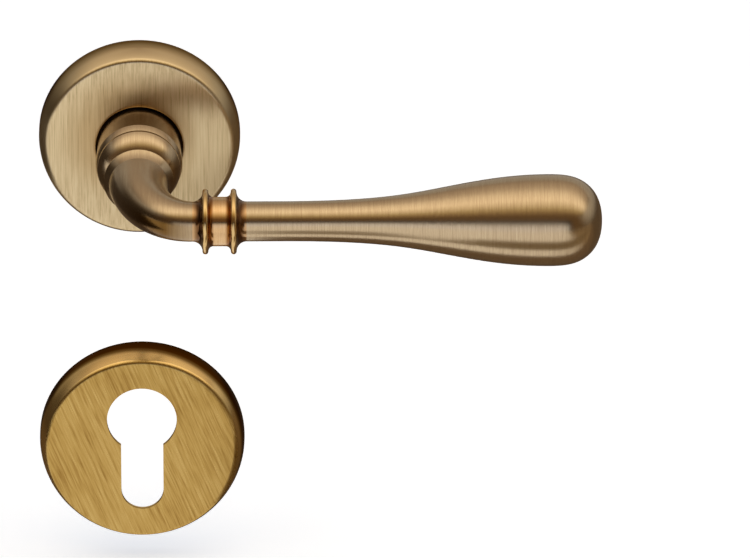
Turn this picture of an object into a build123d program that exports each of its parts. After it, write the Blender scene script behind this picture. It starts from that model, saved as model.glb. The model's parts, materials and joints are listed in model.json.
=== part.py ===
from build123d import *
import math
import os

# Door lever handle on a round rose, with a round escutcheon below it, for one side of a door.
# Every piece is drawn with x to the right, y up and z out of the door, the spindle axis at x = y = 0
# and the door face at z = 0. The last step stands the drawing up in a Z-up frame.

# Covers of rose and escutcheon
rose_diameter = 52.0
escutcheon_diameter = 53.5
cover_height = 9.0
cover_wall = 1.2
straight_wall = 2.0          # height of the straight side below the shoulder
shoulder_tilt = 27.0         # degrees that the shoulder leans in by where it meets the rounded edge
face_rounding = 1.6          # radius of the edge between shoulder and face

# Hub and neck of the lever
ferrule_back_diameter = 21.2
ferrule_diameter = 22.3      # the largest of the hub
ferrule_rounding = 20.6      # from the door to the start of the rounded front of the ferrule
ferrule_front_tilt = 15.0    # degrees, where that rounding starts
ferrule_lip_diameter = 20.2
ferrule_end = 23.0           # from the door to the joint between ferrule and bead
bead_diameter = 21.3
bead_flat = 0.8              # narrow straight edge behind the bead's rounding
bead_tilt = 21.0             # degrees, where the rounding starts
bead_length = 4.5
bead_nose_diameter = 14.4
cove_diameter = 13.6         # hollow between the bead and the rim of the neck
rim_diameter = 17.9
rim_edge = 0.3
rim_front = 31.4             # from the door to the front of the rim
rim_tilt = 37.0              # degrees, where the flare leaves the rim
flare_length = 3.0
flare_end_diameter = 15.0
neck_diameter = 15.7
bend_start = 32.3            # from the door to the start of the bend
elbow_waist_diameter = 10.8  # pulls the taper in towards the middle of the bend
elbow_end_diameter = 10.2
elbow_reach = 13.9           # from the spindle axis to the collar
elbow_steps = 7
grip_axis_height = 56.6      # from the door to the axis of the grip

# Collar between elbow and grip
collar_flange_diameter = 16.7
collar_flange_width = 1.5    # each flange ends in a half round of this width
collar_pitch = 7.2           # between the middles of the two flanges
collar_waist_diameter = 12.6

# Grip
grip_slim_length = 11.1
grip_middle_diameter = 13.4
grip_middle = 67.0           # from the spindle axis
bulb_diameter = 23.4
bulb_centre = 104.6
grip_reach = 118.0           # tip from the spindle axis
tip_round = 0.85             # fullness of the rounded end
grip_stud_diameter = 6.0
grip_stud_length = 26.0
stud_in_neck = 6.0

# Shank, bearing and stop
shank_diameter = 16.0
shank_key_diameter = 15.2
shank_key_flats = 12.0
shank_end = 0.5
bush_wall = 1.4
bush_flange = 1.2
bush_flange_diameter = 20.6
guide_ring_width = 1.2
guide_ring_thickness = 0.6
turn_range = 45.0
stop_spare = 1.0             # degrees of play at each stop
stop_post_diameter = 2.4
stop_post_circle = 22.0
driver_thickness = 1.65
driver_diameter = 24.0
thrust_washer_thickness = 0.5
thrust_washer_width = 1.2
clip_thickness = 1.0
clip_width = 1.7
clip_groove_depth = 0.5
clip_opening = 52.0          # degrees left open between the ears

# Spindle and set screw
spindle_size = 8.0
spindle_behind_door = 44.0
spindle_socket_depth = 19.5
grub_screw_diameter = 5.0
grub_screw_position = 15.0
grub_screw_sunk = 0.9

# Base plates
plate_thickness = 5.0
plate_gap = 0.6              # between a base plate and the side wall of its cover
base_boss_diameter = 30.4
spring_pocket_diameter = 30.4
web_thickness = 2.6
bolt_spacing = 38.0
bolt_diameter = 4.0
bolt_shoulder_diameter = 4.8
bolt_head_diameter = 6.8
bolt_head_height = 2.2
bolt_behind_door = 30.0
wood_screw_diameter = 3.4
wood_screw_head_diameter = 6.2
wood_screw_head_height = 1.9
wood_screw_behind_door = 9.5
wood_screw_point = 3.0
wood_screw_angle = 135.0
rib_span = 52.0              # degrees taken by each hollow at the back of the rose base
rib_wall = 1.5
snap_wire = 1.0
snap_ring_height = 1.7
snap_ring_opening = 40.0

# Return spring
spring_wire = 1.2
spring_mean_diameter = 27.4
spring_turns = 2.25          # left-hand, so that turning the lever down winds them tighter
spring_pitch = 1.22
spring_fixed_angle = 200.0   # of the leg held by the base, next to the door
spring_leg_inner = 10.4
spring_leg_outer = 16.3

# Escutcheon
lock_centres = 78.0          # from the spindle axis down to the key axis
cylinder_hole_diameter = 18.2
cylinder_slot_width = 11.0
cylinder_hole_height = 34.6
escutcheon_opening_width = 23.0
escutcheon_opening_height = 44.0
escutcheon_rim_width = 3.0

# Clearances
running_fit = 0.05
sliding_gap = 0.1
screw_gap = 0.2
turning_gap = 0.3
spindle_gap = 0.1
snap_gap = 0.05
spring_door_gap = 0.1

# Sizes that follow from the ones above
inner_face = cover_height - cover_wall
shoulder_lean = math.radians(shoulder_tilt)
shoulder_top = cover_height - face_rounding * (1 - math.sin(shoulder_lean))
shoulder_radius = (shoulder_top - straight_wall) / math.sin(shoulder_lean)
face_inset = shoulder_radius * (1 - math.cos(shoulder_lean)) + face_rounding * math.cos(shoulder_lean)
rose_hole_radius = ferrule_diameter / 2 + sliding_gap
guide_ring_radius = rose_hole_radius + guide_ring_width
boss_recess = inner_face - guide_ring_thickness - screw_gap
bush_front = boss_recess + bush_flange
web_front = boss_recess
web_back = web_front - web_thickness
bush_radius = shank_diameter / 2 + running_fit + bush_wall
driver_front = web_back - thrust_washer_thickness - running_fit
driver_back = driver_front - driver_thickness
bead_front = ferrule_end + bead_length
collar_cove = collar_flange_diameter / 2 - collar_flange_width / 2 - elbow_end_diameter / 2
collar_shoulder = collar_cove + collar_flange_width / 2
collar_end = elbow_reach + 2 * collar_shoulder + collar_pitch
escutcheon_centre = lock_centres + cylinder_hole_height / 2 - cylinder_hole_diameter / 2
key_above_centre = escutcheon_centre - lock_centres

door_frame = Plane(origin=(0, 0, 0), x_dir=(1, 0, 0), z_dir=(0, -1, 0)).location
escutcheon_place = Pos(0, -escutcheon_centre, 0)
grip_axis = Pos(0, 0, grip_axis_height) * Rot(0, 90, 0)


def turned(outline):
    """Revolve a closed outline, drawn as radius and height, about the z axis."""
    return revolve(Plane.XZ * make_face(outline), Axis.Z)


def ring(outer, inner, bottom, top):
    """A plain ring or washer between two heights."""
    body = Pos(0, 0, bottom) * Cylinder(outer, top - bottom, align=(Align.CENTER, Align.CENTER, Align.MIN))
    hole = Pos(0, 0, bottom) * Cylinder(inner, top - bottom, align=(Align.CENTER, Align.CENTER, Align.MIN))
    return body - hole


def rod(radius, bottom, top):
    """A plain cylinder between two heights."""
    return Pos(0, 0, bottom) * Cylinder(radius, top - bottom, align=(Align.CENTER, Align.CENTER, Align.MIN))


def sector(inner, outer, bottom, top, start, sweep):
    """A piece of a ring between two angles, in degrees."""
    section = Pos((inner + outer) / 2, (bottom + top) / 2) * Rectangle(outer - inner, top - bottom)
    return Rot(0, 0, start) * revolve(Plane.XZ * section, Axis.Z, sweep)


def falling(degrees):
    """Direction of an outline that runs outwards from the door and leans in to the axis."""
    return (-math.sin(math.radians(degrees)), math.cos(math.radians(degrees)))


def cover_form(diameter, inset):
    """The full form of a cover, drawn in all round by an inset: side, leaning shoulder, rounded edge, flat face."""
    side = diameter / 2 - inset
    top = cover_height - inset
    face = diameter / 2 - face_inset
    edge = face_rounding - inset
    bend = (face + edge * math.cos(shoulder_lean), top - edge * (1 - math.sin(shoulder_lean)))
    shoulder = TangentArc((side, straight_wall), bend, tangent=(0, 1))
    rounding = TangentArc(bend, (face, top), tangent=falling(shoulder_tilt))
    rest = Polyline((face, top), (0, top), (0, 0), (side, 0), (side, straight_wall))
    return turned(Curve() + [shoulder, rounding, rest])


def cover_shell(diameter):
    """A cover without its hole, of even thickness."""
    return cover_form(diameter, 0) - cover_form(diameter, cover_wall)


def make_rose_cover():
    return cover_shell(rose_diameter) - rod(rose_hole_radius, 0, cover_height)


def make_neck_guide_ring():
    """A flat ring behind the edge of the cover's hole, which keeps brass off brass as the cover slides."""
    return ring(guide_ring_radius, rose_hole_radius, inner_face - guide_ring_thickness, inner_face)


def base_plate(diameter):
    """The disc that both bases start from, with the rim groove for the snap ring."""
    radius = diameter / 2 - cover_wall - plate_gap
    groove = diameter / 2 - cover_wall - snap_gap - snap_wire - screw_gap
    half = snap_wire / 2 + screw_gap / 2
    plate = rod(radius, 0, plate_thickness)
    plate = chamfer(plate.edges().sort_by(Axis.Z)[-1], plate_gap)
    return plate - ring(radius, groove, snap_ring_height - half, snap_ring_height + half)


def make_rose_base():
    boss = rod(base_boss_diameter / 2, plate_thickness, inner_face)
    recess = rod(guide_ring_radius + turning_gap, boss_recess, inner_face)
    pocket = rod(spring_pocket_diameter / 2, 0, web_back)
    body = base_plate(rose_diameter) + boss - recess - pocket - rod(bush_radius, web_back, web_front)
    rib_inner = spring_pocket_diameter / 2 + rib_wall
    rib_outer = rose_diameter / 2 - cover_wall - snap_gap - snap_wire - screw_gap - rib_wall
    rib_floor = plate_thickness - rib_wall
    for turn in (90, 270):
        body -= sector(rib_inner, rib_outer, 0, rib_floor, turn - rib_span / 2, rib_span)
    for side in (-1, 1):
        across = Pos(side * bolt_spacing / 2, 0, 0)
        body -= across * rod(bolt_shoulder_diameter / 2 + screw_gap, 0, plate_thickness)
        body -= Rot(0, 0, wood_screw_angle) * across * rod(wood_screw_diameter / 2 + screw_gap, 0, plate_thickness)
        post = rod(stop_post_diameter / 2, driver_back, web_back)
        body += Rot(0, 0, 90 + 90 * side) * Pos(stop_post_circle / 2, 0, 0) * post
    slot = Box(spring_leg_outer + screw_gap, spring_wire + screw_gap * 2, spring_wire + spring_door_gap + screw_gap,
               align=(Align.MIN, Align.CENTER, Align.MIN))
    return body - Rot(0, 0, spring_fixed_angle) * slot


def make_bearing_bush():
    bore = shank_diameter / 2 + running_fit
    sleeve = ring(bush_radius, bore, web_back, web_front)
    return sleeve + ring(bush_flange_diameter / 2, bore, web_front, bush_front)


def make_thrust_washer():
    inner = shank_diameter / 2 + turning_gap
    return ring(inner + thrust_washer_width, inner, web_back - thrust_washer_thickness, web_back)


def driver_leg_angle():
    """Where the spring's front leg meets the driver, after its left-hand turns from the fixed leg."""
    return spring_fixed_angle - 360 * (spring_turns % 1)


def make_return_spring():
    """A left-hand torsion spring: its rear leg sits in the base, its front leg in the driver."""
    mean = spring_mean_diameter / 2
    low = spring_door_gap + spring_wire / 2
    rise = spring_turns * spring_pitch
    path = Pos(0, 0, low) * Rot(0, 0, spring_fixed_angle) * Helix(spring_pitch, rise, mean, lefthand=True)
    coil = sweep(Plane(path @ 0, z_dir=path % 0) * Circle(spring_wire / 2), path=path, is_frenet=True)
    fixed_leg = spring_leg(mean, spring_leg_outer, low, spring_fixed_angle)
    driver_leg = spring_leg(spring_leg_inner, mean, low + rise, driver_leg_angle())
    return coil + fixed_leg + driver_leg


def spring_leg(start, end, height, angle):
    """A straight radial end of the spring wire, rounded where it meets the coil."""
    wire = Rot(0, 90, 0) * rod(spring_wire / 2, start, end)
    bend = Pos(spring_mean_diameter / 2, 0, 0) * Sphere(spring_wire / 2)
    return Pos(0, 0, height) * Rot(0, 0, angle) * (wire + bend)


def snap_ring(diameter):
    """A split ring of round wire in the groove of a base plate."""
    mean = diameter / 2 - cover_wall - snap_gap - snap_wire / 2
    section = Pos(mean, snap_ring_height) * Circle(snap_wire / 2)
    start = 90 + snap_ring_opening / 2
    return Rot(0, 0, start) * revolve(Plane.XZ * section, Axis.Z, 360 - snap_ring_opening)


def through_bolts():
    """A pair of machine screws with their heads on a base plate, shouldered inside the plate."""
    head = rod(bolt_head_diameter / 2, plate_thickness, plate_thickness + bolt_head_height)
    head = fillet(head.edges().sort_by(Axis.Z)[-1], bolt_head_height / 3)
    shoulder_part = rod(bolt_shoulder_diameter / 2, 0, plate_thickness)
    bolt = head + shoulder_part + rod(bolt_diameter / 2, -bolt_behind_door, 0)
    return Compound([Pos(side * bolt_spacing / 2, 0, 0) * bolt for side in (-1, 1)])


def make_rose_wood_screws():
    top = plate_thickness + wood_screw_head_height
    head = rod(wood_screw_head_diameter / 2, plate_thickness, top)
    head = fillet(head.edges().sort_by(Axis.Z)[-1], wood_screw_head_height / 2)
    shank = rod(wood_screw_diameter / 2, -wood_screw_behind_door, plate_thickness)
    point_top = -wood_screw_behind_door
    point = Pos(0, 0, point_top) * Rot(180, 0, 0) * Cone(
        wood_screw_diameter / 2, 0, wood_screw_point, align=(Align.CENTER, Align.CENTER, Align.MIN))
    screw = head + shank + point
    spots = [Rot(0, 0, wood_screw_angle) * Pos(side * bolt_spacing / 2, 0, 0) for side in (-1, 1)]
    return Compound([spot * screw for spot in spots])


def key_section(clearance):
    """The shank's keyed end: a circle with two flats."""
    disc = Circle(shank_key_diameter / 2 + clearance)
    return disc & Rectangle(shank_key_diameter * 2, shank_key_flats + 2 * clearance)


def make_lever_neck():
    journal = rod(shank_diameter / 2, driver_front, ferrule_end)
    key = Pos(0, 0, shank_end) * extrude(key_section(0), driver_front - shank_end)
    clip_top = driver_back
    groove = ring(shank_key_diameter, shank_key_diameter / 2 - clip_groove_depth, clip_top - clip_thickness, clip_top)
    body = journal + (key - groove) + hub_front() + elbow()
    across = spindle_size + 2 * spindle_gap
    socket = Box(across, across, spindle_socket_depth, align=(Align.CENTER, Align.CENTER, Align.MIN))
    stud_hole = grip_axis * rod(grip_stud_diameter / 2, elbow_reach - stud_in_neck, elbow_reach)
    return body - Pos(0, 0, shank_end) * socket - stud_hole - grub_hole()


def hub_front():
    """The front of the hub: a rounded bead, a cove, and the rim from which the neck flares."""
    bead = bead_diameter / 2
    nose = bead_nose_diameter / 2
    cove = cove_diameter / 2
    rim = rim_diameter / 2
    rim_back = rim_front - rim_edge
    flare_end = rim_front + flare_length
    rounding = TangentArc((bead, ferrule_end + bead_flat), (nose, bead_front), tangent=falling(bead_tilt))
    hollow = ThreePointArc((nose, bead_front), (cove, (bead_front + rim_back) / 2), (rim, rim_back))
    flare = TangentArc((rim, rim_front), (flare_end_diameter / 2, flare_end), tangent=falling(rim_tilt))
    back = Polyline(flare @ 1, (0, flare_end), (0, ferrule_end), (bead, ferrule_end), rounding @ 0)
    return turned(Curve() + [rounding, hollow, Line(hollow @ 1, flare @ 0), flare, back])


def elbow():
    """The tapering bend from the hub to the collar, lofted through round sections along a quarter ellipse."""
    rise = grip_axis_height - bend_start
    start = neck_diameter / 2
    waist = elbow_waist_diameter / 2
    end = elbow_end_diameter / 2
    sections = []
    for step in range(elbow_steps + 1):
        share = step / elbow_steps
        angle = math.radians(90 * share)
        size = start * (1 - share) ** 2 + 2 * waist * share * (1 - share) + end * share ** 2
        centre = (elbow_reach * (1 - math.cos(angle)), 0, bend_start + rise * math.sin(angle))
        heading = (elbow_reach * math.sin(angle), 0, rise * math.cos(angle))
        sections.append(Plane(origin=centre, x_dir=(0, 1, 0), z_dir=heading) * Circle(size))
    return loft(sections)


def make_neck_ferrule():
    """A slightly flared sleeve with a rounded front, pressed on the shank behind the bead."""
    bore = shank_diameter / 2
    rounding = TangentArc((ferrule_diameter / 2, ferrule_rounding), (ferrule_lip_diameter / 2, ferrule_end),
                          tangent=falling(ferrule_front_tilt))
    back = Polyline(rounding @ 1, (bore, ferrule_end), (bore, bush_front), (ferrule_back_diameter / 2, bush_front),
                    rounding @ 0)
    return turned(Curve() + [rounding, back]) - grub_hole()


def grub_hole():
    depth = ferrule_diameter / 2
    return Pos(0, 0, grub_screw_position) * Rot(90, 0, 0) * rod(grub_screw_diameter / 2, 0, depth)


def make_grub_screw():
    bottom = ferrule_back_diameter / 2 - grub_screw_sunk
    screw = rod(grub_screw_diameter / 2, spindle_size / 2, bottom)
    screw = chamfer(screw.edges().sort_by(Axis.Z)[0], grub_screw_diameter / 5)
    return Pos(0, 0, grub_screw_position) * Rot(90, 0, 0) * screw


def make_spindle():
    length = spindle_behind_door + shank_end + spindle_socket_depth
    bar = Box(spindle_size, spindle_size, length, align=(Align.CENTER, Align.CENTER, Align.MIN))
    bar = chamfer(bar.edges(), spindle_size / 20)
    return Pos(0, 0, -spindle_behind_door) * bar


def make_spring_driver():
    disc = Circle(driver_diameter / 2) - key_section(running_fit)
    disc = extrude(disc, driver_thickness)
    half = math.degrees(math.asin(stop_post_diameter / stop_post_circle)) + stop_spare
    inner = stop_post_circle / 2 - stop_post_diameter / 2 - turning_gap
    for start in (0, 180):
        disc -= sector(inner, driver_diameter, 0, driver_thickness, start - half, turn_range + 2 * half)
    leg = Box(driver_diameter, spring_wire + screw_gap, driver_thickness, align=(Align.MIN, Align.CENTER, Align.MIN))
    disc -= Rot(0, 0, driver_leg_angle()) * Pos(spring_leg_inner - spring_wire, 0, 0) * leg
    return Pos(0, 0, driver_back) * disc


def make_retaining_clip():
    inner = shank_key_diameter / 2 - clip_groove_depth
    outer = inner + clip_width
    bottom = driver_back - clip_thickness
    start = 90 + clip_opening / 2
    clip = sector(inner, outer, bottom, driver_back, start, 360 - clip_opening)
    for angle in (start, 90 - clip_opening / 2):
        ear = rod(clip_width * 0.62, bottom, driver_back) - rod(clip_width * 0.26, bottom, driver_back)
        clip += Rot(0, 0, angle) * Pos((inner + outer) / 2 + clip_width * 0.35, 0, 0) * ear
    return clip


def make_collar_ring():
    """A waist between two round-edged flanges, with a quarter-round cove on each side of a flange."""
    waist = collar_waist_diameter / 2
    hole = grip_stud_diameter / 2 + screw_gap
    first = elbow_reach + collar_shoulder
    middle = first + collar_pitch / 2
    flange = collar_flange(first)
    inside = Polyline(flange[-1] @ 1, (waist, middle), (hole, middle), (hole, elbow_reach), flange[0] @ 0)
    half = turned(Curve() + flange + [inside])
    return grip_axis * (half + mirror(half, Plane.XY.offset(middle)))


def collar_flange(centre):
    """Outline of the left flange, from the end of the collar over the round edge down to the waist."""
    waist = collar_waist_diameter / 2
    top = collar_flange_diameter / 2
    half = collar_flange_width / 2
    side = top - half
    outer_cove = TangentArc((elbow_end_diameter / 2, elbow_reach), (side, centre - half), tangent=(0, 1))
    edge = ThreePointArc((side, centre - half), (top, centre), (side, centre + half))
    inner_cove = TangentArc((side, centre + half), (waist, centre + half + side - waist), tangent=(-1, 0))
    return [outer_cove, edge, inner_cove]


def make_grip():
    start = elbow_end_diameter / 2
    slim = (start, collar_end + grip_slim_length)
    bulb = (bulb_diameter / 2, bulb_centre)
    swell = Spline((start, collar_end), slim, (grip_middle_diameter / 2, grip_middle), bulb, tangents=[(0, 1), (0, 1)])
    dome = grip_reach - bulb_centre
    round_point = (bulb_diameter / 2 * tip_round, bulb_centre + dome * (1 - (1 - tip_round) * 2.4))
    end = Spline(bulb, round_point, (0, grip_reach), tangents=[(0, 1), (-1, 0)])
    back = Polyline((0, grip_reach), (0, collar_end), (start, collar_end))
    body = turned(Curve() + [swell, end, back])
    hole_end = elbow_reach - stud_in_neck + grip_stud_length
    return grip_axis * (body - rod(grip_stud_diameter / 2, collar_end, hole_end))


def make_grip_stud():
    start = elbow_reach - stud_in_neck
    return grip_axis * rod(grip_stud_diameter / 2, start, start + grip_stud_length)


def cylinder_hole():
    """The euro-profile outline, a circle over a round-ended slot, centred on its overall height."""
    circle = Pos(0, key_above_centre) * Circle(cylinder_hole_diameter / 2)
    low = -cylinder_hole_height / 2 + cylinder_slot_width / 2
    leg = Pos(0, (key_above_centre + low) / 2) * Rectangle(cylinder_slot_width, key_above_centre - low)
    return circle + leg + Pos(0, low) * Circle(cylinder_slot_width / 2)


def make_escutcheon_cover():
    return escutcheon_place * (cover_shell(escutcheon_diameter) - extrude(cylinder_hole(), cover_height))


def make_escutcheon_base():
    opening = SlotOverall(escutcheon_opening_height, escutcheon_opening_width, rotation=90)
    rim = SlotOverall(escutcheon_opening_height + 2 * escutcheon_rim_width,
                      escutcheon_opening_width + 2 * escutcheon_rim_width, rotation=90)
    inside = rod(escutcheon_diameter / 2 - face_inset - plate_gap, plate_thickness, inner_face)
    wall = extrude(Pos(0, 0, plate_thickness) * rim, inner_face - plate_thickness) & inside
    body = base_plate(escutcheon_diameter) + wall - extrude(opening, cover_height)
    for side in (-1, 1):
        hole = rod(bolt_shoulder_diameter / 2 + screw_gap, 0, plate_thickness)
        body -= Pos(side * bolt_spacing / 2, 0, 0) * hole
    return escutcheon_place * body


pieces = {
    "rose_cover": make_rose_cover(),
    "neck_guide_ring": make_neck_guide_ring(),
    "rose_base": make_rose_base(),
    "bearing_bush": make_bearing_bush(),
    "thrust_washer": make_thrust_washer(),
    "return_spring": make_return_spring(),
    "rose_snap_ring": snap_ring(rose_diameter),
    "rose_bolts": through_bolts(),
    "rose_wood_screws": make_rose_wood_screws(),
    "lever_neck": make_lever_neck(),
    "neck_ferrule": make_neck_ferrule(),
    "grub_screw": make_grub_screw(),
    "spindle": make_spindle(),
    "spring_driver": make_spring_driver(),
    "retaining_clip": make_retaining_clip(),
    "collar_ring": make_collar_ring(),
    "grip": make_grip(),
    "grip_stud": make_grip_stud(),
    "escutcheon_cover": make_escutcheon_cover(),
    "escutcheon_base": make_escutcheon_base(),
    "escutcheon_snap_ring": escutcheon_place * snap_ring(escutcheon_diameter),
    "escutcheon_bolts": escutcheon_place * through_bolts(),
}

os.makedirs("parts", exist_ok=True)
for name, piece in pieces.items():
    export_step(door_frame * piece, f"parts/{name}.step")
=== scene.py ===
import bmesh
import bpy
import json
import math
from mathutils import Matrix, Vector


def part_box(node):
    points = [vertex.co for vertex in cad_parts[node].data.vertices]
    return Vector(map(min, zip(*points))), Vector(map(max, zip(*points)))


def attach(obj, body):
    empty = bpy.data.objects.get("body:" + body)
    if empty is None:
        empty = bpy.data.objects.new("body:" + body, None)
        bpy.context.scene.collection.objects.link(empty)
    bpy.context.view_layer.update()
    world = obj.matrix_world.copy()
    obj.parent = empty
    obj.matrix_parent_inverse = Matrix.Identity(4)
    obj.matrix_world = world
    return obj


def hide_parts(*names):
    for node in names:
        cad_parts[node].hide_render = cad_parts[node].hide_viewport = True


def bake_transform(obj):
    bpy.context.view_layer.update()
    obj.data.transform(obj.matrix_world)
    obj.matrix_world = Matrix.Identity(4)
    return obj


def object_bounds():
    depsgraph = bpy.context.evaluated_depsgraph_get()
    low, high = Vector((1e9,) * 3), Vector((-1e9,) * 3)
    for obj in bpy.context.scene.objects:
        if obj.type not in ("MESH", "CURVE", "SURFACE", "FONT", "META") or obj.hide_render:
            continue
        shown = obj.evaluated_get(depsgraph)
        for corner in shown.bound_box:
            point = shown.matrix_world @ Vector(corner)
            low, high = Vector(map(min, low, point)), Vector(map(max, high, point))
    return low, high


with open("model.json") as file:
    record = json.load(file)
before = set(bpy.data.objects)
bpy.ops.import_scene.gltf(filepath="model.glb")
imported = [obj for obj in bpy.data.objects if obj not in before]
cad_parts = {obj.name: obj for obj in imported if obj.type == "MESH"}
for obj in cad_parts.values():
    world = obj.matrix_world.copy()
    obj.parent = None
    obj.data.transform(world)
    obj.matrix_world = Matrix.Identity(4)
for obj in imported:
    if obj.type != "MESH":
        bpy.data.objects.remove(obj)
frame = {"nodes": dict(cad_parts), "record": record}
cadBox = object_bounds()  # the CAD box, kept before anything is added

nodes = frame["nodes"]
mm = 0.001
print("frame loaded with", len(nodes), "CAD nodes")


def hexColour(text):
    parts = [int(text[i:i + 2], 16) / 255 for i in (1, 3, 5)]
    linear = [c / 12.92 if c <= 0.04045 else ((c + 0.055) / 1.055) ** 2.4 for c in parts]
    return (*linear, 1.0)


# One node with its settings and links; the setting "stops" holds the places and colours of a ramp
def addNode(tree, kind, settings=None, links=None):
    node = tree.nodes.new(kind)
    for name, value in (settings or {}).items():
        if name == "stops":
            marks = node.color_ramp.elements
            while len(marks) < len(value):
                marks.new(0.5)
            for mark, (place, colour) in zip(marks, value):
                mark.position = place
                mark.color = hexColour(colour)
        elif isinstance(name, int) or name in node.inputs:
            node.inputs[name].default_value = value
        else:
            setattr(node, name, value)
    for name, source in (links or {}).items():
        tree.links.new(source, node.inputs[name])
    return node


# A material with one shader on its output
def newMaterial(name, kind="ShaderNodeBsdfPrincipled"):
    material = bpy.data.materials.new(name)
    material.use_nodes = True
    tree = material.node_tree
    tree.nodes.clear()
    shader = addNode(tree, kind)
    addNode(tree, "ShaderNodeOutputMaterial", links={"Surface": shader.outputs[0]})
    return material, tree, shader


grainRange = (0.3, 0.7)  # where most values of a fine noise lie
patchRange = (0.35, 0.65)  # the same for broad patches
scratchDepth = 0.02  # millimetres
skinRelief = 0.05  # millimetres


# Antique brass under clear lacquer: pale gold where it was cut back, brown in the scratches and hollows
# Real strokes are finer than a pixel, so they are drawn wider here, in millimetres, to show in the render
def antiqueBrass(name, look):
    material, tree, shader = newMaterial(name)
    place = addNode(tree, "ShaderNodeTexCoord").outputs["Object"]
    strokes = addNode(tree, "ShaderNodeMapping", {
        "vector_type": "TEXTURE", "Rotation": look["strokeTurn"],
        "Scale": [size * mm for size in look["strokeSize"]]}, {"Vector": place})
    grain = addNode(tree, "ShaderNodeTexNoise", {"Scale": 1.0, "Detail": 4.0, "Roughness": 0.65},
                    {"Vector": strokes.outputs["Vector"]}).outputs["Fac"]
    if "face" in look:
        grain = strokesOnFace(tree, place, grain, look["face"])
    patches = addNode(tree, "ShaderNodeTexNoise", {"Scale": 1 / (look["patchSize"] * mm), "Detail": 2.0},
                      {"Vector": place})
    wear = addNode(tree, "ShaderNodeMapRange", {
        "From Min": patchRange[0], "From Max": patchRange[1],
        "To Min": -look["patchDepth"], "To Max": look["patchDepth"]}, {"Value": patches.outputs["Fac"]})
    tone = addNode(tree, "ShaderNodeMath", {"operation": "ADD"}, {0: grain, 1: wear.outputs["Result"]})
    colour = addNode(tree, "ShaderNodeValToRGB", {"stops": look["tones"]}, {"Fac": tone.outputs["Value"]})
    polish = addNode(tree, "ShaderNodeMapRange", {
        "From Min": grainRange[0], "From Max": grainRange[1],
        "To Min": look["roughness"][1], "To Max": look["roughness"][0]}, {"Value": tone.outputs["Value"]})
    scratches = addNode(tree, "ShaderNodeBump", {"Strength": look["scratch"], "Distance": scratchDepth * mm},
                        {"Height": grain})
    shader.inputs["Metallic"].default_value = 1.0
    rimTint = look.get("rimTint", "#ffffff")  # a darker one dulls the grazing reflections
    shader.inputs["Specular Tint"].default_value = hexColour(rimTint)
    tree.links.new(polish.outputs["Result"], shader.inputs["Roughness"])
    tree.links.new(scratches.outputs["Normal"], shader.inputs["Normal"])
    skin = colour.outputs["Color"]
    if "oxideAndShade" in look:
        skin = oxideAndShadeBands(tree, place, skin, look["oxideAndShade"])
    if "paintedUnderShade" in look:
        skin = paintedElbowShade(tree, place, skin, look["paintedUnderShade"])
    if "paintedHubShade" in look:
        skin = paintedHubShade(tree, place, skin, look["paintedHubShade"])
    tree.links.new(skin, shader.inputs["Base Color"])
    if "brushed" in look:  # reflections smear across the strokes
        shader.inputs["Anisotropic"].default_value = look["brushed"]["amount"]
        shader.inputs["Anisotropic Rotation"].default_value = look["brushed"]["turn"]
        across = addNode(tree, "ShaderNodeTangent", {
            "direction_type": "RADIAL", "axis": look["brushed"]["axis"]})
        tree.links.new(across.outputs["Tangent"], shader.inputs["Tangent"])
    return material


# The belt only reaches the flat face, so the shoulder stays plain satin
def strokesOnFace(tree, place, grain, face):
    axes = addNode(tree, "ShaderNodeSeparateXYZ", links={0: place})
    onFace = addNode(tree, "ShaderNodeMapRange", {
        "From Min": -face["depth"][0] * mm, "From Max": -face["depth"][1] * mm}, {"Value": axes.outputs["Y"]})
    mixed = addNode(tree, "ShaderNodeMix", {"data_type": "FLOAT", 2: face["shoulderTone"]},
                    {0: onFace.outputs["Result"], 3: grain})
    return mixed.outputs[0]


# Brown oxide left in hollows, and painted shade on side walls, by the distance from a middle along one axis
def oxideAndShadeBands(tree, place, skin, bands):
    axes = addNode(tree, "ShaderNodeSeparateXYZ", links={0: place})
    offset = addNode(tree, "ShaderNodeMath", {"operation": "SUBTRACT", 1: bands["middle"] * mm},
                     {0: axes.outputs[bands["axis"]]})
    offset = addNode(tree, "ShaderNodeMath", {"operation": "ABSOLUTE"}, {0: offset.outputs["Value"]})
    # painted shade reaches further up the side wall on the right than on the left
    if "lean" in bands:  # the bands lie wider on the right side than on the left
        offset = addNode(tree, "ShaderNodeMath", {"operation": "MULTIPLY_ADD", 1: -bands["lean"]},
                         {0: axes.outputs["X"], 2: offset.outputs["Value"]})
    share = addNode(tree, "ShaderNodeMapRange", {"From Min": 0.0, "From Max": bands["reach"] * mm},
                    {"Value": offset.outputs["Value"]})
    stops = [(distance / bands["reach"], colour) for distance, colour in bands["shades"]]
    shade = addNode(tree, "ShaderNodeValToRGB", {"stops": stops}, {"Fac": share.outputs["Result"]})
    mixed = addNode(tree, "ShaderNodeMix", {"data_type": "RGBA", "blend_type": "MULTIPLY", 0: 1.0},
                    {6: skin, 7: shade.outputs["Color"]})
    return mixed.outputs[2]
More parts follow.
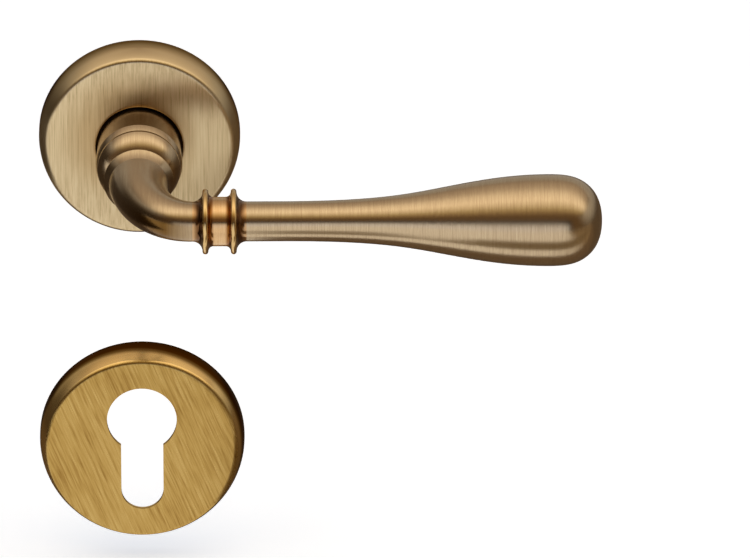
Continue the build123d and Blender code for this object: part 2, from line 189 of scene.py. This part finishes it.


# Painted shade under the elbow and on the lower side of the hub
def paintedElbowShade(tree, place, skin, paintedUnderShade):
    axes = addNode(tree, "ShaderNodeSeparateXYZ", links={0: place})
    under = addNode(tree, "ShaderNodeMapRange", {
        "From Min": paintedUnderShade["below"][0] * mm, "From Max": paintedUnderShade["below"][1] * mm},
        {"Value": axes.outputs["Z"]})
    aside = addNode(tree, "ShaderNodeMath", {"operation": "SUBTRACT", 1: paintedUnderShade["middle"] * mm},
                    {0: axes.outputs["X"]})
    aside = addNode(tree, "ShaderNodeMath", {"operation": "ABSOLUTE"}, {0: aside.outputs["Value"]})
    within = addNode(tree, "ShaderNodeMapRange", {
        "From Min": paintedUnderShade["within"][0] * mm, "From Max": paintedUnderShade["within"][1] * mm},
        {"Value": aside.outputs["Value"]})
    share = addNode(tree, "ShaderNodeMath", {"operation": "MULTIPLY"},
                    {0: under.outputs["Result"], 1: within.outputs["Result"]})
    mixed = addNode(tree, "ShaderNodeMix", {
        "data_type": "RGBA", "blend_type": "MULTIPLY", 7: hexColour(paintedUnderShade["shade"])},
        {0: share.outputs["Value"], 6: skin})
    return mixed.outputs[2]


# Painted shade in a ring round the hub: the hub's shade and reflection on the rose, the shade in the gap on
# the base
def paintedHubShade(tree, place, skin, ring):
    middle = (ring["middle"][0] * mm, 0, ring["middle"][1] * mm)
    aside = addNode(tree, "ShaderNodeVectorMath", {"operation": "SUBTRACT", 1: middle}, {0: place})
    flat = addNode(tree, "ShaderNodeVectorMath", {"operation": "MULTIPLY", 1: (1, 0, 1)},
                   {0: aside.outputs["Vector"]})
    reach = addNode(tree, "ShaderNodeVectorMath", {"operation": "LENGTH"}, {0: flat.outputs["Vector"]})
    share = addNode(tree, "ShaderNodeMapRange", {
        "From Min": ring["outer"] * mm, "From Max": ring["inner"] * mm}, {"Value": reach.outputs["Value"]})
    mixed = addNode(tree, "ShaderNodeMix", {
        "data_type": "RGBA", "blend_type": "MULTIPLY", 7: hexColour(ring["shade"])},
        {0: share.outputs["Result"], 6: skin})
    return mixed.outputs[2]


# Moulded, cast and drawn parts behind the covers: an even skin with a little mottling
# The real skin is too fine to see, so its grain is drawn coarser, in millimetres, to show in the render
def plainFinish(name, look):
    material, tree, shader = newMaterial(name)
    place = addNode(tree, "ShaderNodeTexCoord").outputs["Object"]
    skin = addNode(tree, "ShaderNodeTexNoise", {
        "Scale": 1 / (look["grain"] * mm), "Detail": 4.0, "Roughness": 0.6}, {"Vector": place}).outputs["Fac"]
    tone = addNode(tree, "ShaderNodeValToRGB", {"stops": look["tones"]}, {"Fac": skin}).outputs["Color"]
    polish = addNode(tree, "ShaderNodeMapRange", {
        "From Min": grainRange[0], "From Max": grainRange[1],
        "To Min": look["roughness"][0], "To Max": look["roughness"][1]}, {"Value": skin})
    relief = addNode(tree, "ShaderNodeBump", {"Strength": look["relief"], "Distance": skinRelief * mm},
                     {"Height": skin})
    shader.inputs["Metallic"].default_value = look["metallic"]
    if "paintedHubShade" in look:
        tone = paintedHubShade(tree, place, tone, look["paintedHubShade"])
    tree.links.new(tone, shader.inputs["Base Color"])
    tree.links.new(polish.outputs["Result"], shader.inputs["Roughness"])
    tree.links.new(relief.outputs["Normal"], shader.inputs["Normal"])
    return material


collarLow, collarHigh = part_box("collar_ring")
collarMiddle = (collarLow[0] + collarHigh[0]) / 2 / mm
collarHalf = (collarHigh[0] - collarLow[0]) / 2 / mm
slant = 22  # degrees that the escutcheon's strokes lean from upright
finishes = {
    "rose_brass": antiqueBrass("brushedBrassUpright", {  # belt strokes run up and down the face
        "strokeSize": (0.4, 0.4, 22), "strokeTurn": (0, 0, 0), "scratch": 0.12,
        "patchSize": 16, "patchDepth": 0.03, "roughness": (0.30, 0.36), "rimTint": "#d2c4b2",
        "tones": [(0.25, "#b7a075"), (0.5, "#d8c096"), (0.75, "#e4cfa6")],
        "face": {"depth": (8.2, 8.8), "shoulderTone": 0.5},
        # painted shade and reflection of the hub, off centre towards the upper left
        "paintedHubShade": {"shade": "#e6ddd0", "middle": (-2.5, 2.5), "inner": 12.0, "outer": 19.0},
        "brushed": {"amount": 0.78, "turn": 0.0, "axis": "Z"},
        # painted shade on the side wall, darker towards the door
        "oxideAndShade": {"axis": "Y", "middle": 0.0, "reach": 9.0, "shades": [
            (0.0, "#8a775f"), (1.2, "#a08c73"), (3.4, "#e6ddd0"), (5.5, "#ffffff")]}}),
    "lever_brass": antiqueBrass("turnedBrass", {  # fine lathe strokes run round the grip
        "strokeSize": (0.35, 7, 7), "strokeTurn": (0, 0, 0), "scratch": 0.05,
        "patchSize": 20, "patchDepth": 0.03, "roughness": (0.19, 0.25),
        "tones": [(0.25, "#b89f7e"), (0.5, "#c3ab89"), (0.75, "#cbb592")],
        # painted shade under the elbow
        "paintedUnderShade": {"shade": "#9a8155", "below": (3.5, 1.0), "middle": 4.0, "within": (12, 3)}}),
    "collar_brass": antiqueBrass("relievedBrass", {  # polished back to gold on the rings, brown in the coves
        "strokeSize": (0.3, 8, 8), "strokeTurn": (0, 0, 0), "scratch": 0.05,
        "patchSize": 8, "patchDepth": 0.03, "roughness": (0.14, 0.2),
        "tones": [(0.25, "#cba36e"), (0.5, "#d9b587"), (0.75, "#dfbf94")],
        "oxideAndShade": {"axis": "X", "middle": collarMiddle, "reach": collarHalf, "shades": [
            (0.0, "#fffaf4"), (1.4, "#fffaf4"), (2.1, "#a0763c"), (2.8, "#c8a468"), (3.1, "#ffffea"),
            (4.2, "#ffffea"), (4.6, "#80664e"), (collarHalf - 1.2, "#8a7666"), (collarHalf, "#eee6e0")]}}),
    "escutcheon_brass": antiqueBrass("brushedBrassSlanting", {  # strokes lean from upper left to lower right
        "strokeSize": (0.4, 0.4, 10), "strokeTurn": (0, math.radians(-slant), 0), "scratch": 0.15,
        "patchSize": 14, "patchDepth": 0.04, "roughness": (0.26, 0.34), "rimTint": "#cbc0b6",
        "tones": [(0.25, "#966f33"), (0.5, "#bd9853"), (0.75, "#d0ae6a"), (0.95, "#f7d089")],
        # the shoulder takes the brightest tone, a painted highlight
        "face": {"depth": (8.2, 8.8), "shoulderTone": 0.95},
        "brushed": {"amount": 0.6, "turn": slant / 360, "axis": "Z"},
        # painted shade on the side wall, darker towards the door and wider on the right
        "oxideAndShade": {"axis": "Y", "middle": 0.0, "reach": 9.0, "lean": 0.05, "shades": [
            (0.0, "#3c2214"), (3.6, "#5a3a1c"), (4.8, "#94866e"), (6.0, "#ffffff")]}}),
    "dark_nylon": plainFinish("mouldedNylon", {  # matt dark brown without a clear highlight
        "grain": 0.4, "relief": 0.1, "metallic": 0.0, "roughness": (0.8, 0.9),
        "tones": [(0.3, "#38220f"), (0.7, "#4a2f18")]}),
    "die_cast_zinc": plainFinish("dieCastZinc", {  # dull warm grey, with painted shade in a ring round the hub
        "grain": 0.8, "relief": 0.25, "metallic": 1.0, "roughness": (0.42, 0.58),
        "tones": [(0.3, "#7f786c"), (0.7, "#9a9387")],
        "paintedHubShade": {"shade": "#5a3c1e", "middle": (0, 0), "inner": 12.5, "outer": 14.0}}),
    "spring_steel": plainFinish("oiledSpringSteel", {  # dark drawn wire with an oily sheen
        "grain": 0.5, "relief": 0.1, "metallic": 1.0, "roughness": (0.25, 0.38),
        "tones": [(0.3, "#4a4a4c"), (0.7, "#6a6a6b")]}),
    "zinc_plated_steel": plainFinish("brightZincPlate", {  # pale silver, a little cloudy
        "grain": 0.6, "relief": 0.1, "metallic": 1.0, "roughness": (0.24, 0.36),
        "tones": [(0.3, "#aeb2b0"), (0.7, "#c4c6c1")]}),
    "black_oxide_steel": plainFinish("blackOxideSteel", {  # near black with a faint satin shine
        "grain": 0.4, "relief": 0.1, "metallic": 1.0, "roughness": (0.35, 0.5),
        "tones": [(0.3, "#17171a"), (0.7, "#26262a")]}),
}

slotOf = {}
bodyOf = {}
for subpart in frame["record"]["subparts"]:
    slotOf[subpart["node"]] = subpart["material_slot"]
    node = nodes[subpart["node"]]
    node.data.materials.clear()
    node.data.materials.append(finishes[subpart["material_slot"]])
for body, members in frame["record"]["behaviour"]["bodies"].items():
    for member in members:
        bodyOf[member] = body
print("finishes on", len(nodes), "nodes")


# A new mesh that stands for a CAD node and takes its finish
def standIn(name, node, mesh, sharp=35):
    mesh.materials.clear()
    mesh.materials.append(finishes[slotOf[node]])
    mesh.shade_smooth()
    mesh.set_sharp_from_angle(angle=math.radians(sharp))
    piece = bpy.data.objects.new(name, mesh)
    bpy.context.scene.collection.objects.link(piece)
    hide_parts(node)
    return piece


# Rings of points on an axis, joined in order and closed by end faces, or by one more band if hollow
def ringMesh(name, rings, places, steps=40, hollow=False):
    vertices, faces = [], []
    for place in places:
        first = len(vertices)
        for radius, height in rings:
            for step in range(steps):
                angle = 2 * math.pi * step / steps
                reach = radius(angle) if callable(radius) else radius
                spot = Vector((reach * math.cos(angle), reach * math.sin(angle), height)) * mm
                vertices.append(place @ spot)
        for ring in range(len(rings) if hollow else len(rings) - 1):
            here, above = first + ring * steps, first + (ring + 1) % len(rings) * steps
            for step in range(steps):
                beside = (step + 1) % steps
                faces.append((here + step, here + beside, above + beside, above + step))
        if not hollow:
            last = first + (len(rings) - 1) * steps
            faces.append(tuple(range(first + steps - 1, first - 1, -1)))
            faces.append(tuple(range(last, last + steps)))
    mesh = bpy.data.meshes.new(name)
    mesh.from_pydata(vertices, [], faces)
    return mesh


thread = {"ringsPerTurn": 8, "pointShare": 0.08}  # a point starts at this share of the full thickness


# A right-hand thread between two heights, cut from its crest to its root; it fades out at its upper end
def threadRings(start, end, crest, root, pitch, point=0.0):
    count = round((end - start) / pitch * thread["ringsPerTurn"])
    rings = []
    for k in range(count + 1):
        height = start + (end - start) * k / count
        ending = min(1.0, (end - height) / pitch)
        taper = min(1.0, (height - start) / point + thread["pointShare"]) if point else 1.0

        def radius(angle, height=height, ending=ending, taper=taper):
            wave = abs(2 * ((height / pitch - angle / (2 * math.pi)) % 1) - 1)
            return (crest - (crest - root) * wave * ending) * taper
        rings.append((radius, height))
    return rings


# Outline of a cross recess with straight arms
def crossOutline(length, width):
    def radius(angle):
        turn = abs((angle + math.pi / 4) % (math.pi / 2) - math.pi / 4)
        return min(length / math.cos(turn), width / max(math.sin(turn), 1e-6))
    return radius


def hexOutline(across):
    def radius(angle):
        return across / 2 / math.cos((angle + math.pi / 6) % (math.pi / 3) - math.pi / 6)
    return radius


# A low round head with a cross recess, from under the head to the floor of the recess
def headRings(seat, radius, height, rounding, cross, arcRings=5):
    top = seat + height
    rings = [(radius, seat), (radius, top - rounding)]
    for k in range(1, arcRings + 1):
        turn = math.pi / 2 * k / arcRings
        rings.append((radius - rounding * (1 - math.cos(turn)), top - rounding * (1 - math.sin(turn))))
    floorLength, floorWidth = cross["floorShare"]
    rings.append((crossOutline(cross["length"], cross["width"]), top))
    rings.append((crossOutline(cross["length"] * floorLength, cross["width"] * floorWidth),
                  top - cross["depth"]))
    return rings


outOfDoor = Matrix.Rotation(math.radians(90), 4, "X")  # a piece's own height points out of the door


def sideBySide(node, spacing, turn=0.0):
    low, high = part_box(node)
    middle = Matrix.Translation(((low[0] + high[0]) / 2, 0, (low[2] + high[2]) / 2))
    return [middle @ outOfDoor @ Matrix.Rotation(math.radians(turn), 4, "Z")
            @ Matrix.Translation((side * spacing / 2 * mm, 0, 0)) for side in (-1, 1)]


# The face of the rose is slightly crowned, highest round the hub, which lowers the image of the lever in it
rose = {"radius": 26.0, "height": 9.0, "wall": 1.2, "straight": 2.0, "tilt": 27, "rounding": 1.6,
        "hole": 11.25, "holeEdge": 0.25, "crown": 130, "faceInset": 2.9,
        "faceRings": 24, "arcRings": 10, "steps": 192}


# Side of the shell from the door to the face, as radius and height, moved in by the wall for its inside
def coverSide(inset, end):
    lean = math.radians(rose["tilt"])
    low, edge = rose["height"] - rose["rounding"], rose["rounding"] - inset
    shoulder = (low + rose["rounding"] * math.sin(lean) - rose["straight"]) / math.sin(lean)
    face = rose["radius"] - shoulder * (1 - math.cos(lean)) - rose["rounding"] * math.cos(lean)
    turns = [k / rose["arcRings"] for k in range(rose["arcRings"] + 1)]
    side = [(rose["radius"] - inset, 0.0)]
    for share in turns:
        side.append((rose["radius"] - shoulder + (shoulder - inset) * math.cos(lean * share),
                     rose["straight"] + (shoulder - inset) * math.sin(lean * share)))
    for share in turns[1:]:
        angle = lean + (end - lean) * share
        side.append((face + edge * math.cos(angle), low + edge * math.sin(angle)))
    return side


# The whole section of the shell: up the outside, over the face, round the hole's edge and down the inside
def coverRings():
    slope = math.asin((rose["radius"] - rose["faceInset"] - rose["hole"]) / rose["crown"])
    outside = coverSide(0.0, math.pi / 2 - slope)
    inside = coverSide(rose["wall"], math.pi / 2 - slope)
    rim, rimHeight = outside[-1]
    for k in range(1, rose["faceRings"] + 1):
        radius = rim + (rose["hole"] + rose["holeEdge"] - rim) * k / rose["faceRings"]
        drop = (rim - rose["hole"]) ** 2 - (radius - rose["hole"]) ** 2
        outside.append((radius, rimHeight + drop / (2 * rose["crown"])))
    holeTop = outside[-1][1]
    for share in (0.5, 1.0):
        angle = math.pi / 2 * share
        outside.append((rose["hole"] + rose["holeEdge"] * (1 - math.sin(angle)),
                        holeTop - rose["holeEdge"] * (1 - math.cos(angle))))
    return outside + [(rose["hole"], holeTop - rose["wall"])] + inside[::-1]


roseMesh = ringMesh("roseCoverCrowned", coverRings(), [outOfDoor], rose["steps"], True)
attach(standIn("roseCoverCrowned", "rose_cover", roseMesh), bodyOf["rose_cover"])
print("rose face crowned")

throughBolt = {"spacing": 38, "plate": 5, "shoulder": 2.4, "head": 3.4, "headHeight": 2.2, "rounding": 0.73,
               "crest": 2.0, "root": 1.68, "pitch": 0.7, "end": -30, "threadStart": -3,
               "tipShare": 0.9, "tipLength": 0.3,
               "cross": {"length": 1.9, "width": 0.55, "depth": 1.5, "floorShare": (0.55, 0.8)}}
for node in ("rose_bolts", "escutcheon_bolts"):
    rings = [(throughBolt["root"] * throughBolt["tipShare"], throughBolt["end"])]
    rings += threadRings(throughBolt["end"] + throughBolt["tipLength"], throughBolt["threadStart"],
                         throughBolt["crest"], throughBolt["root"], throughBolt["pitch"])
    rings += [(throughBolt["crest"], 0), (throughBolt["shoulder"], 0),
              (throughBolt["shoulder"], throughBolt["plate"])]
    rings += headRings(throughBolt["plate"], throughBolt["head"], throughBolt["headHeight"],
                       throughBolt["rounding"], throughBolt["cross"])
    bolts = standIn(node + "Threaded", node, ringMesh(node, rings, sideBySide(node, throughBolt["spacing"])))
    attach(bolts, bodyOf[node])

woodScrew = {"spacing": 38, "turn": 135, "plate": 5, "head": 3.1, "headHeight": 1.9, "rounding": 0.95,
             "crest": 1.7, "root": 1.15, "pitch": 1.3, "end": -12.5, "point": 3.0, "threadEnd": -0.5,
             "cross": {"length": 1.7, "width": 0.5, "depth": 1.3, "floorShare": (0.55, 0.8)}}
rings = threadRings(woodScrew["end"], woodScrew["threadEnd"], woodScrew["crest"], woodScrew["root"],
                    woodScrew["pitch"], woodScrew["point"])
rings += [(woodScrew["crest"], woodScrew["plate"])]
rings += headRings(woodScrew["plate"], woodScrew["head"], woodScrew["headHeight"], woodScrew["rounding"],
                   woodScrew["cross"])
screwPlaces = sideBySide("rose_wood_screws", woodScrew["spacing"], woodScrew["turn"])
screws = standIn("roseWoodScrewsThreaded", "rose_wood_screws", ringMesh("roseWoodScrews", rings, screwPlaces))
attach(screws, bodyOf["rose_wood_screws"])

grubScrew = {"crest": 2.5, "root": 2.15, "pitch": 0.8, "chamfer": 1.0, "chamferShare": 0.7, "endLength": 0.2,
             "socket": 2.5, "socketDepth": 2.4}
grubLow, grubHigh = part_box("grub_screw")
grubTop, grubEnd = -grubHigh[2] / mm, -grubLow[2] / mm
grubPlace = Matrix.Translation((0, (grubLow[1] + grubHigh[1]) / 2, 0)) @ Matrix.Rotation(math.pi, 4, "X")
rings = [(grubScrew["crest"] - grubScrew["chamfer"], grubTop),
         (grubScrew["root"], grubTop + grubScrew["chamfer"] * grubScrew["chamferShare"])]
rings += threadRings(grubTop + grubScrew["chamfer"], grubEnd - grubScrew["endLength"],
                     grubScrew["crest"], grubScrew["root"], grubScrew["pitch"])
rings += [(grubScrew["root"], grubEnd), (hexOutline(grubScrew["socket"]), grubEnd),
          (hexOutline(grubScrew["socket"]), grubEnd - grubScrew["socketDepth"])]
grub = standIn("grubScrewSocketed", "grub_screw", ringMesh("grubScrew", rings, [grubPlace]))
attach(grub, bodyOf["grub_screw"])
print("threads and recesses cut on the screws")

# The torsion spring winds between the base and the driver, so its wire turns with the lever from coil to coil
spring = {"mean": 13.7, "pitch": 1.22, "turns": 2.25, "start": 200, "wire": 1.2, "outerLeg": 16.3,
          "innerLeg": 10.4, "firstCoil": 0.7, "stepsPerTurn": 48, "wireResolution": 4, "heldHeight": 0.4}
springRise = spring["pitch"] * spring["turns"]
springPath = [(spring["outerLeg"], spring["start"], spring["firstCoil"])]
springSteps = round(spring["turns"] * spring["stepsPerTurn"])
for k in range(springSteps + 1):
    share = k / springSteps
    springPath.append((spring["mean"], spring["start"] - 360 * spring["turns"] * share,
                       spring["firstCoil"] + springRise * share))
springPath.append((spring["innerLeg"], springPath[-1][1], springPath[-1][2]))
springCurve = bpy.data.curves.new("springWire", "CURVE")
springCurve.dimensions = "3D"
springCurve.bevel_depth = spring["wire"] / 2 * mm
springCurve.bevel_resolution = spring["wireResolution"]
springCurve.use_fill_caps = True
springLine = springCurve.splines.new("POLY")
springLine.points.add(len(springPath) - 1)
for point, (radius, degrees, height) in zip(springLine.points, springPath):
    angle = math.radians(degrees)
    point.co = (radius * math.cos(angle) * mm, -height * mm, radius * math.sin(angle) * mm, 1)
springHolder = bpy.data.objects.new("springWire", springCurve)
bpy.context.scene.collection.objects.link(springHolder)
springWound = springHolder.evaluated_get(bpy.context.evaluated_depsgraph_get())
springMesh = bpy.data.meshes.new_from_object(springWound)
bpy.data.objects.remove(springHolder)
coil = standIn("returnSpringWound", "return_spring", springMesh)
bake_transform(coil)
print("return spring wound")


# A flat sheet that belongs to the stage and not to the handle
def stageSheet(name, corners, material):
    mesh = bpy.data.meshes.new(name)
    mesh.from_pydata(corners, [], [tuple(range(len(corners)))])
    mesh.materials.append(material)
    sheet = bpy.data.objects.new(name, mesh)
    bpy.context.scene.collection.objects.link(sheet)
    return sheet


def flatCorners(x0, y0, x1, y1, z):
    return [(x0, y0, z), (x1, y0, z), (x1, y1, z), (x0, y1, z)]


# White paper: white in the metal, and white to the eye but for the soft shadow of the handle
# The stage is sized in metres, like the frame
paper = {"shade": "#f4f4f4", "roughness": 0.9, "lift": "#bbc4d0", "half": 3.0, "below": 0.006}
floorLevel = cadBox[0][2] - paper["below"]
sheetOfPaper, paperTree, paperShader = newMaterial("whitePaper")
paperShader.inputs["Base Color"].default_value = hexColour(paper["shade"])
paperShader.inputs["Roughness"].default_value = paper["roughness"]
ray = addNode(paperTree, "ShaderNodeLightPath")
liftGlow = addNode(paperTree, "ShaderNodeEmission", {"Color": hexColour(paper["lift"])},
                   {"Strength": ray.outputs["Is Camera Ray"]})
lit = addNode(paperTree, "ShaderNodeAddShader",
              links={0: paperShader.outputs["BSDF"], 1: liftGlow.outputs["Emission"]})
inMetal = addNode(paperTree, "ShaderNodeMath", {"operation": "MAXIMUM"},
                  {0: ray.outputs["Is Glossy Ray"], 1: ray.outputs["Is Transmission Ray"]})
white = addNode(paperTree, "ShaderNodeEmission", {"Color": hexColour("#ffffff"), "Strength": 1.0})
paperMix = addNode(paperTree, "ShaderNodeMixShader", links={
    0: inMetal.outputs["Value"], 1: lit.outputs["Shader"], 2: white.outputs["Emission"]})
paperTree.links.new(paperMix.outputs["Shader"], paperTree.nodes["Material Output"].inputs["Surface"])
paperCorners = flatCorners(-paper["half"], -paper["half"], paper["half"], paper["half"], floorLevel)
stageSheet("paperFloor", paperCorners, sheetOfPaper)


# A level that holds near the middle of a sheet and falls off softly towards its two sides
def sideFade(tree, axes, sheet, inside, outside):
    offset = addNode(tree, "ShaderNodeMath", {"operation": "SUBTRACT", 1: sheet["middle"]},
                     {0: axes.outputs["X"]})
    offset = addNode(tree, "ShaderNodeMath", {"operation": "ABSOLUTE"}, {0: offset.outputs["Value"]})
    fade = addNode(tree, "ShaderNodeMapRange", {
        "interpolation_type": "SMOOTHSTEP", "From Min": sheet["sideFade"], "From Max": sheet["side"],
        "To Min": inside, "To Max": outside}, {"Value": offset.outputs["Value"]})
    return fade.outputs["Result"]


# Cool white card before the set, fading out at its top edge
frontCard = {"y": -1.3, "middle": -0.2, "side": 0.95, "sideFade": 0.6, "top": 0.5, "fadeFrom": 0.05,
             "tint": "#eef2ff", "strength": 1.1}
card, cardTree, cardGlow = newMaterial("frostedFrontCard", "ShaderNodeEmission")
cardPlace = addNode(cardTree, "ShaderNodeTexCoord")
cardAxes = addNode(cardTree, "ShaderNodeSeparateXYZ", links={0: cardPlace.outputs["Object"]})
cardFade = addNode(cardTree, "ShaderNodeMapRange", {
    "interpolation_type": "SMOOTHSTEP", "From Min": frontCard["fadeFrom"], "From Max": frontCard["top"],
    "To Min": frontCard["strength"], "To Max": 0.0}, {"Value": cardAxes.outputs["Z"]})
cardSide = sideFade(cardTree, cardAxes, frontCard, 1.0, 0.0)
cardPower = addNode(cardTree, "ShaderNodeMath", {"operation": "MULTIPLY"},
                    {0: cardFade.outputs["Result"], 1: cardSide})
cardGlow.inputs["Color"].default_value = hexColour(frontCard["tint"])
cardTree.links.new(cardPower.outputs["Value"], cardGlow.inputs["Strength"])
cardLeftEnd = frontCard["middle"] - frontCard["side"]
cardRightEnd = frontCard["middle"] + frontCard["side"]
cardCorners = [(cardLeftEnd, frontCard["y"], floorLevel), (cardRightEnd, frontCard["y"], floorLevel),
               (cardRightEnd, frontCard["y"], frontCard["top"]),
               (cardLeftEnd, frontCard["y"], frontCard["top"])]
stageSheet("frontCard", cardCorners, card).visible_camera = False

# Dark cards over the floor that shape the reflections, never seen by the lens; one starts softly at its edge
cardLevel = floorLevel + 1 * mm
gripLine = -0.088  # where the card under the grip begins
doorLine = -0.004  # just before the door's face
floorCards = {
    "cardUnderGrip": {"shade": "#8d7f70", "corners": [
        (0.03, gripLine), (3.0, gripLine), (3.0, doorLine), (0.03, doorLine)]},
    "cardBeforeGrip": {"shade": "#9a907c", "corners": [
        (0.03, -0.25), (0.8, -0.25), (0.8, -0.14), (0.03, -0.14)]},
    "cardBehind": {"shade": "#766a5c", "corners": [
        (-0.12, doorLine), (3.0, doorLine), (3.0, 3.0), (-0.12, 3.0)]},
    "cardLeft": {"shade": "#4a4034", "corners": [
        (-3.0, -0.13), (-0.12, -0.13), (-0.12, 3.0), (-3.0, 3.0)]},
    "cardRightFront": {"shade": "#b3a691", "corners": [
        (0.45, -2.99), (3.0, -2.99), (3.0, gripLine), (0.10, gripLine)],
        "edge": {"lean": 0.33, "from": 0.03, "to": 0.24}},
}
for name, floorCard in floorCards.items():
    felt, feltTree, feltShader = newMaterial(name)
    feltShader.inputs["Base Color"].default_value = hexColour(floorCard["shade"])
    feltShader.inputs["Roughness"].default_value = 1.0
    if "edge" in floorCard:
        edge = floorCard["edge"]
        feltPlace = addNode(feltTree, "ShaderNodeTexCoord")
        axes = addNode(feltTree, "ShaderNodeSeparateXYZ", links={0: feltPlace.outputs["Object"]})
        along = addNode(feltTree, "ShaderNodeMath", {"operation": "MULTIPLY_ADD", 1: edge["lean"]},
                        {0: axes.outputs["Y"], 2: axes.outputs["X"]})
        cover = addNode(feltTree, "ShaderNodeMapRange", {
            "interpolation_type": "SMOOTHSTEP", "From Min": edge["from"], "From Max": edge["to"]},
            {"Value": along.outputs["Value"]})
        clear = addNode(feltTree, "ShaderNodeBsdfTransparent")
        mixed = addNode(feltTree, "ShaderNodeMixShader", links={
            0: cover.outputs["Result"], 1: clear.outputs["BSDF"], 2: feltShader.outputs["BSDF"]})
        feltTree.links.new(mixed.outputs["Shader"], feltTree.nodes["Material Output"].inputs["Surface"])
    sheet = stageSheet(name, [(x, y, cardLevel) for x, y in floorCard["corners"]], felt)
    sheet.visible_camera = False
    sheet.visible_shadow = False
    sheet.visible_diffuse = False

# Wide overhead softbox, brightest over the front of the set and fading to all its edges
softbox = {"front": -1.0, "back": 0.95, "height": 0.72, "middle": 0.3, "side": 1.45, "sideFade": 0.75,
           "strength": 1.45, "edgeStrength": 0.75, "tint": "#fff3df",
           "fade": [(0.0, "#756655"), (0.1, "#87785d"), (0.2, "#b3ab90"), (0.39, "#ffffff"),
                    (0.51, "#e9e9e9"), (0.6, "#c6c3c3"), (0.68, "#b0abab"), (1.0, "#868181")]}
silk, silkTree, silkGlow = newMaterial("softboxSilk", "ShaderNodeEmission")
silkPlace = addNode(silkTree, "ShaderNodeTexCoord")
silkAxes = addNode(silkTree, "ShaderNodeSeparateXYZ", links={0: silkPlace.outputs["Object"]})
silkPart = addNode(silkTree, "ShaderNodeMapRange", {
    "From Min": softbox["front"], "From Max": softbox["back"]}, {"Value": silkAxes.outputs["Y"]})
silkFade = addNode(silkTree, "ShaderNodeValToRGB", {"stops": softbox["fade"]},
                   {"Fac": silkPart.outputs["Result"]})
silkTint = addNode(silkTree, "ShaderNodeMix", {
    "data_type": "RGBA", "blend_type": "MULTIPLY", 0: 1.0, 7: hexColour(softbox["tint"])},
    {6: silkFade.outputs["Color"]})
silkSide = sideFade(silkTree, silkAxes, softbox, softbox["strength"], softbox["edgeStrength"])
silkTree.links.new(silkTint.outputs[2], silkGlow.inputs["Color"])
silkTree.links.new(silkSide, silkGlow.inputs["Strength"])
silkCorners = flatCorners(softbox["middle"] - softbox["side"], softbox["front"],
                          softbox["middle"] + softbox["side"], softbox["back"], softbox["height"])
stageSheet("overheadSoftbox", silkCorners, silk).visible_camera = False

# Pale tent round the set, brighter upwards and open to a brown room in front, never seen by the lens
tent = {"radius": 4.6, "segments": 48, "lean": 0.2, "front": "#6a5337", "frontFade": (-0.1, -0.7),
        "back": "#b0aca6", "backFade": (0.5, 0.95),
        "rise": [(0.0, "#40382e"), (0.1, "#5c544a"), (0.31, "#a8a49f"), (0.5, "#c4c0bb"), (0.8, "#d8d4ce")]}
cloth, clothTree, clothGlow = newMaterial("tentCloth", "ShaderNodeEmission")
clothPlace = addNode(clothTree, "ShaderNodeTexCoord")
clothWay = addNode(clothTree, "ShaderNodeVectorMath", {"operation": "NORMALIZE"},
                   {0: clothPlace.outputs["Object"]})
clothAxes = addNode(clothTree, "ShaderNodeSeparateXYZ", links={0: clothWay.outputs["Vector"]})
clothLean = addNode(clothTree, "ShaderNodeMath", {"operation": "MULTIPLY_ADD", 1: tent["lean"]},
                    {0: clothAxes.outputs["X"], 2: clothAxes.outputs["Z"]})
clothTone = addNode(clothTree, "ShaderNodeValToRGB", {"stops": tent["rise"]},
                    {"Fac": clothLean.outputs["Value"]}).outputs["Color"]
for way in ("back", "front"):
    start, end = tent[way + "Fade"]
    clothFade = addNode(clothTree, "ShaderNodeMapRange", {
        "interpolation_type": "SMOOTHSTEP", "From Min": start, "From Max": end},
        {"Value": clothAxes.outputs["Y"]})
    clothTone = addNode(clothTree, "ShaderNodeMix", {"data_type": "RGBA", 7: hexColour(tent[way])},
                        {0: clothFade.outputs["Result"], 6: clothTone}).outputs[2]
clothTree.links.new(clothTone, clothGlow.inputs["Color"])
tentMesh = bpy.data.meshes.new("tent")
tentShape = bmesh.new()
bmesh.ops.create_uvsphere(tentShape, u_segments=tent["segments"], v_segments=tent["segments"] // 2,
                          radius=tent["radius"])
tentShape.to_mesh(tentMesh)
tentShape.free()
tentMesh.materials.append(cloth)
tentHolder = bpy.data.objects.new("tent", tentMesh)
bpy.context.scene.collection.objects.link(tentHolder)
tentHolder.visible_camera = False

# Plain white where the camera looks past the paper
room = bpy.data.worlds.new("whiteRoom")
bpy.context.scene.world = room
room.use_nodes = True
room.node_tree.nodes["Background"].inputs["Color"].default_value = hexColour("#ffffff")

# Long lens at the angle of the photograph
shot = {"target": (0.06086, 0.0, -0.0419), "turn": -0.6, "rise": 24.4, "distance": 3.0, "pixelsPerMm": 3.8446,
        "imageWidth": 750, "sensor": 36, "farthest": 50}
turn, rise = math.radians(shot["turn"]), math.radians(shot["rise"])
back = Vector((math.sin(turn) * math.cos(rise), -math.cos(turn) * math.cos(rise), math.sin(rise)))
lens = bpy.data.cameras.new("longLens")
lens.sensor_width = shot["sensor"]
lens.lens = shot["pixelsPerMm"] / mm * shot["distance"] * shot["sensor"] / shot["imageWidth"]
lens.clip_end = shot["farthest"]
camera = bpy.data.objects.new("longLens", lens)
camera.location = Vector(shot["target"]) + back * shot["distance"]
camera.rotation_euler = (-back).to_track_quat("-Z", "Y").to_euler()
bpy.context.scene.collection.objects.link(camera)
bpy.context.scene.camera = camera
bpy.context.scene.view_settings.view_transform = "Standard"
print("stage, lights and camera set")
